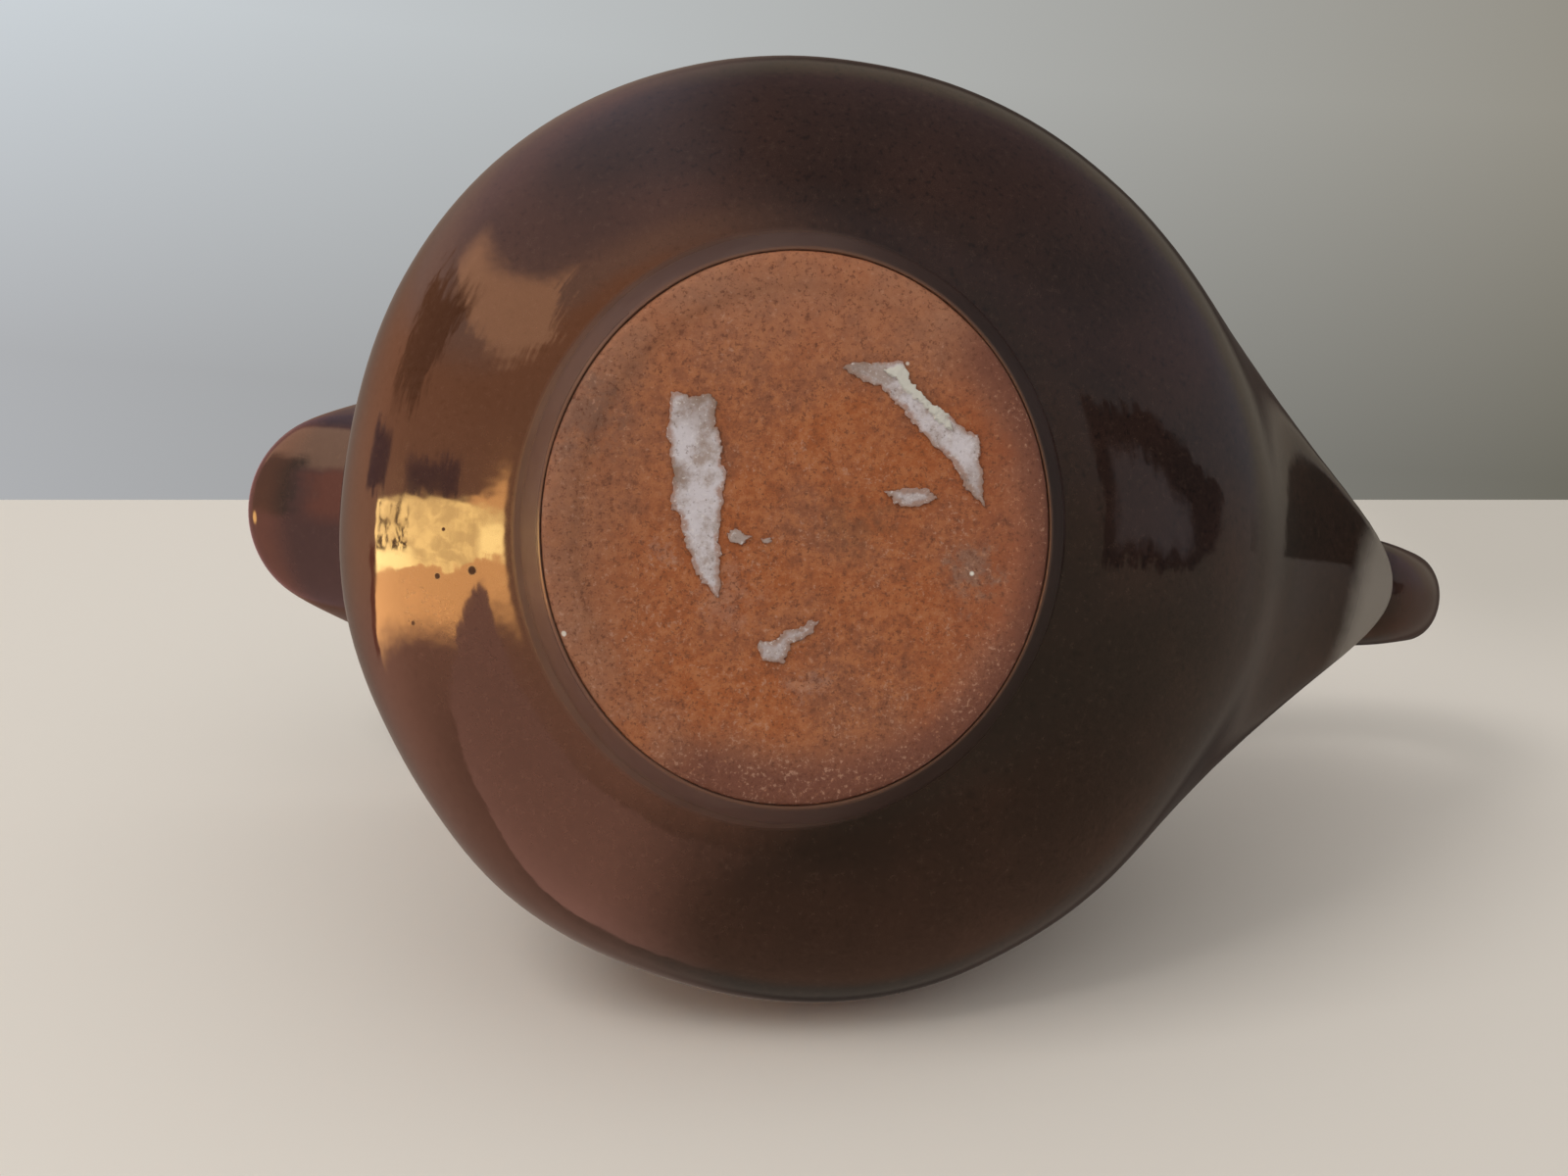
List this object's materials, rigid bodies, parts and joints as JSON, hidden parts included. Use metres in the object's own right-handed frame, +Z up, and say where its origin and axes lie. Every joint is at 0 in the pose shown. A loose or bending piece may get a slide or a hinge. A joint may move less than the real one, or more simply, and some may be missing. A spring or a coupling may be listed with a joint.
{
  "type": "creamer",
  "caption": "Squat pottery creamer with a dark brown glaze, a belly drawn out to a tail, a loop handle, a pulled pouring lip and a bare clay foot with torn paper label remains.",
  "frame": {"origin": "centre of the foot, in the plane that the creamer stands on", "axes": "+Z up out of the mouth, +X to the pouring lip, -X to the tail and the handle, +Y to the left of someone who looks from the handle to the lip"},
  "size_m": [0.1451, 0.0968, 0.0895],
  "materials": {
    "glaze": "gloss",
    "bare_clay": "matte",
    "label_paper": "matte"
  },
  "bodies": {
    "root": {"vessel_wall": "glaze", "pouring_lip": "glaze", "handle": "glaze", "foot_disc": "bare_clay", "label_strip": "label_paper", "label_torn_corner": "label_paper", "label_scrap_middle": "label_paper", "label_scrap_low": "label_paper", "label_crumb_long": "label_paper", "label_crumb_small": "label_paper"}
  },
  "joints": []
}
